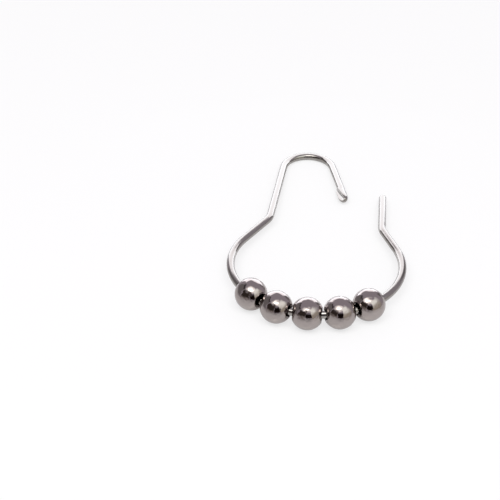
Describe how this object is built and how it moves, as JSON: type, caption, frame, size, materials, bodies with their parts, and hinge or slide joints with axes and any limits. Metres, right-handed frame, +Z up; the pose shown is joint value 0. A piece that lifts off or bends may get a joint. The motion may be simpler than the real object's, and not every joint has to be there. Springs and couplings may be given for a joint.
{
  "type": "shower curtain hook",
  "caption": "Bent spring-wire curtain hook with drilled balls that roll on the rod, a narrow bow for the eyelet, a spoon clasp and a straight free leg, sprung open.",
  "frame": {"origin": "centre of the hook's box, on the floor that the hook lies on", "axes": "+Z up from the floor, +Y from the ball row towards the bow, +X towards the free leg's side"},
  "size_m": [0.0532, 0.09, 0.0095],
  "materials": {
    "polished_wire": "bright drawn spring steel, polished",
    "polished_ball": "mirror polished, plated"
  },
  "bodies": {
    "wire": {"hook_wire": "polished_wire"},
    "ball_1": {"roller_ball_1": "polished_ball"},
    "ball_2": {"roller_ball_2": "polished_ball"},
    "ball_3": {"roller_ball_3": "polished_ball"},
    "ball_4": {"roller_ball_4": "polished_ball"},
    "ball_5": {"roller_ball_5": "polished_ball"}
  },
  "joints": [
    {"name": "ball_1_roll", "type": "hinge", "parent": "wire", "child": "ball_1", "pos_m": [-0.01973, -0.03126, 0.00475], "axis": [0.6389, -0.7688, 0.0278], "continuous": true},
    {"name": "ball_2_roll", "type": "hinge", "parent": "wire", "child": "ball_2", "pos_m": [-0.01271, -0.03716, 0.00475], "axis": [0.8673, -0.4976, 0.0149], "continuous": true},
    {"name": "ball_3_roll", "type": "hinge", "parent": "wire", "child": "ball_3", "pos_m": [-0.00408, -0.04024, 0.00475], "axis": [0.9865, -0.1637, 0], "continuous": true},
    {"name": "ball_4_roll", "type": "hinge", "parent": "wire", "child": "ball_4", "pos_m": [0.00509, -0.04011, 0.00475], "axis": [0.9815, 0.1907, -0.0149], "continuous": true},
    {"name": "ball_5_roll", "type": "hinge", "parent": "wire", "child": "ball_5", "pos_m": [0.01363, -0.0368, 0.00475], "axis": [0.853, 0.5212, -0.0278], "continuous": true}
  ]
}
